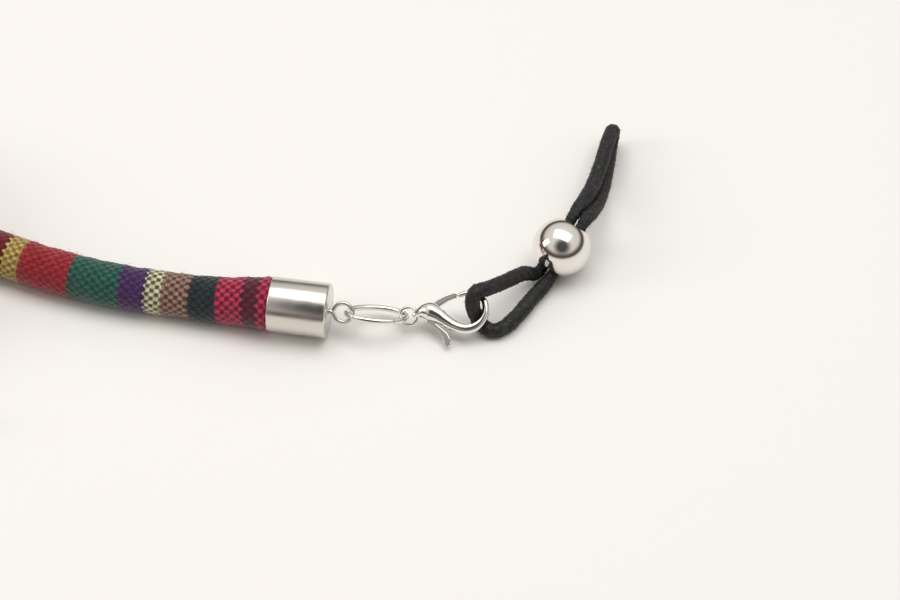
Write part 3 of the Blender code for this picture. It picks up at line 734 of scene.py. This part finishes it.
for end, lay in ENDS.items():
    tail = table_point(*lay["tail"], TAIL_HEIGHT)
    drop = CAP_RADIUS - TAIL_HEIGHT
    axis = placement(table_point(*lay["mouth"], CAP_RADIUS), lay["cap"])
    seen = axis.inverted() @ tail / MM
    eye_along = seen.x - math.sqrt(RING_REACH ** 2 - drop ** 2 - seen.y ** 2)
    ring_heading = lay["cap"] + math.degrees(math.atan2(seen.y, seen.x - eye_along))
    eye_point = axis @ Vector((eye_along * MM, 0, 0))
    eye_x = CAP_LENGTH + EYE_STAND_OFF + EYE_RADIUS
    cap = axis @ Matrix.Translation(Vector(((eye_along - eye_x) * MM, 0, 0)))

    # End cap: a cup drawn from sheet, open at the strap, with a hole for the eye's stem.
    inner = CAP_RADIUS - CAP_WALL
    profile = round_corner(CAP_LENGTH - CAP_FILLET, CAP_RADIUS - CAP_FILLET, CAP_FILLET, 90, 0)
    profile = [(0.13, CAP_RADIUS)] + profile + [(CAP_LENGTH, 0.45), (CAP_LENGTH - CAP_END_WALL, 0.45)]
    profile += [(CAP_LENGTH - CAP_END_WALL, inner), (0.1, inner)]
    profile += round_corner(0.13, CAP_RADIUS - 0.13, 0.13, 180, 90, 3)[:-1]
    cup = placed("nickel_cup_" + end, spun(profile), cap, satin)
    set_piece(cup, "strap", "satin_nickel", "end_cap_" + end)

    # Cap eye: round wire that comes out of the cap and is bent into a loop.
    eye = placement(eye_point, lay["cap"], 0, EYE_TILT)
    loop = [(-eye_x + 6.9, 0, 0), (-EYE_RADIUS - 0.9, 0, 0), (-EYE_RADIUS - 0.42, -0.04, 0)]
    loop += [(-EYE_RADIUS - 0.14, -0.2, 0)]
    loop += [(EYE_RADIUS * math.cos(a), EYE_RADIUS * math.sin(a), 0)
             for a in np.radians(np.linspace(205, 525, 22))]
    line = smooth_line(loop, 5)
    wire_eye = placed("wire_eye_" + end, wire(line, EYE_WIRE, round_ends=True), eye, satin)
    set_piece(wire_eye, "strap", "satin_nickel", "cap_eye_" + end)

    # Jump ring: an oval of round wire, cut once so that it can be opened sideways.
    pitch = -math.degrees(math.asin(drop / RING_REACH))
    ring = placement(eye_point, ring_heading, pitch)
    ring = ring @ Matrix.Translation(Vector((RING_SLACK, 0, 0)) * MM)
    ring = ring @ Matrix.Rotation(math.radians(RING_TILT), 4, "X")
    half_length, half_width = RING_LENGTH / 2 - RING_WIRE, RING_WIDTH / 2 - RING_WIRE
    oval = [(half_length + half_length * math.cos(a), half_width * math.sin(a), 0)
            for a in np.radians(np.linspace(RING_CUT_FROM, RING_CUT_TO, 140))]
    jump = placed("oval_ring_" + end, wire(oval, RING_WIRE, 24), ring, bright)
    set_piece(jump, "ring_" + end, "bright_nickel", "jump_ring_" + end)

    # Clasp body: one casting, a tail eye and a hook that tapers to its nose, slotted for the
    # lever.
    clasp = placement(tail, CLASP_HEADING, CLASP_PITCH, CLASP_ROLL)
    rod = smooth_line(CLASP_ROD, 8)
    stem = wire(np.c_[rod[:, :2], np.zeros(len(rod))], rod[:, 2], 32, round_ends=True)
    circle = [(TAIL_EYE_RADIUS * math.cos(a), TAIL_EYE_RADIUS * math.sin(a), 0)
              for a in np.linspace(0, 2 * math.pi, 48, endpoint=False)]
    tail_eye = wire(circle, TAIL_EYE_WIRE, 20, closed=True)
    slot = slab([(SLOT_START, -4), (SLOT_END, -4), (SLOT_END, 4), (SLOT_START, 4)],
                -SLOT_HALF, SLOT_HALF)
    hole = wire([(*PIVOT, -3), (*PIVOT, 3)], PIN_HOLE, 24)
    casting = cast([stem, tail_eye], [slot, hole], CLASP_GRAIN, 6)
    body = placed("cast_clasp_" + end, casting, clasp, bright)
    set_piece(body, "clasp_" + end, "bright_nickel", "clasp_body_" + end)

    # Lever: the gate arm, the hub on its pin and the thumb tab, blanked from plate.
    hub = round_corner(*PIVOT, HUB_RADIUS, 70, 235, 12)
    blank = slab(LEVER_TOP + hub + LEVER_TAB, -LEVER_THICKNESS / 2, LEVER_THICKNESS / 2)
    bore = wire([(*PIVOT, -3), (*PIVOT, 3)], PIN_HOLE, 24)
    stamping = cast([blank], [bore], LEVER_GRAIN, 5)
    lever = placed("thumb_lever_" + end, stamping, clasp, bright)
    set_piece(lever, "lever_" + end, "bright_nickel", "clasp_lever_" + end)

    # Bead: turned round, bored through for two strands of cord, and plated mirror bright.
    bead = placement(table_point(*BEAD_CENTRES[end]), *lay["bead"])
    edge = math.degrees(math.asin((BORE_RADIUS + 0.25) / BEAD_RADIUS))
    shell = round_corner(0, 0, BEAD_RADIUS, edge, 180 - edge, 56)
    bore_end = BEAD_RADIUS * math.cos(math.radians(edge)) - 0.25
    shell += [(-bore_end - 0.05, BORE_RADIUS + 0.09), (-bore_end + 0.1, BORE_RADIUS)]
    shell += [(bore_end - 0.1, BORE_RADIUS), (bore_end + 0.05, BORE_RADIUS + 0.09)]
    ball = placed("bright_bead_" + end, spun(shell, 128), bead, bright)
    set_piece(ball, "bead_" + end, "bright_nickel", "slide_bead_" + end)


# Inside the cap, set adhesive holds the strap, and inside the clasp a drawn steel pin and a
# spring of fine steel wire carry the lever. They keep their modelled shapes.
adhesive = bpy.data.materials.new("set_adhesive")
adhesive.use_nodes = True
tree = adhesive.node_tree
glue_shader = tree.nodes["Principled BSDF"]
place = tree.nodes.new("ShaderNodeTexCoord")
clouds = tree.nodes.new("ShaderNodeTexNoise")
clouds.inputs["Scale"].default_value = 900
tree.links.new(place.outputs["Object"], clouds.inputs["Vector"])
glue_tint = ramp_node(tree, clouds.outputs["Fac"], [(0.35, (0.62, 0.52, 0.34)),
                                                    (0.65, (0.80, 0.74, 0.58))])
tree.links.new(glue_tint, glue_shader.inputs["Base Color"])
glue_shader.inputs["Roughness"].default_value = 0.28
glue_shader.inputs["Transmission Weight"].default_value = 0.35
drawn = plated("drawn_steel", (0.56, 0.56, 0.57), 0.24, True)
for end in ENDS:
    for node, finish in (("cap_glue_", adhesive), ("lever_pin_", drawn), ("lever_spring_", drawn)):
        mesh = bpy.data.objects[node + end].data
        mesh.materials.clear()
        mesh.materials.append(finish)
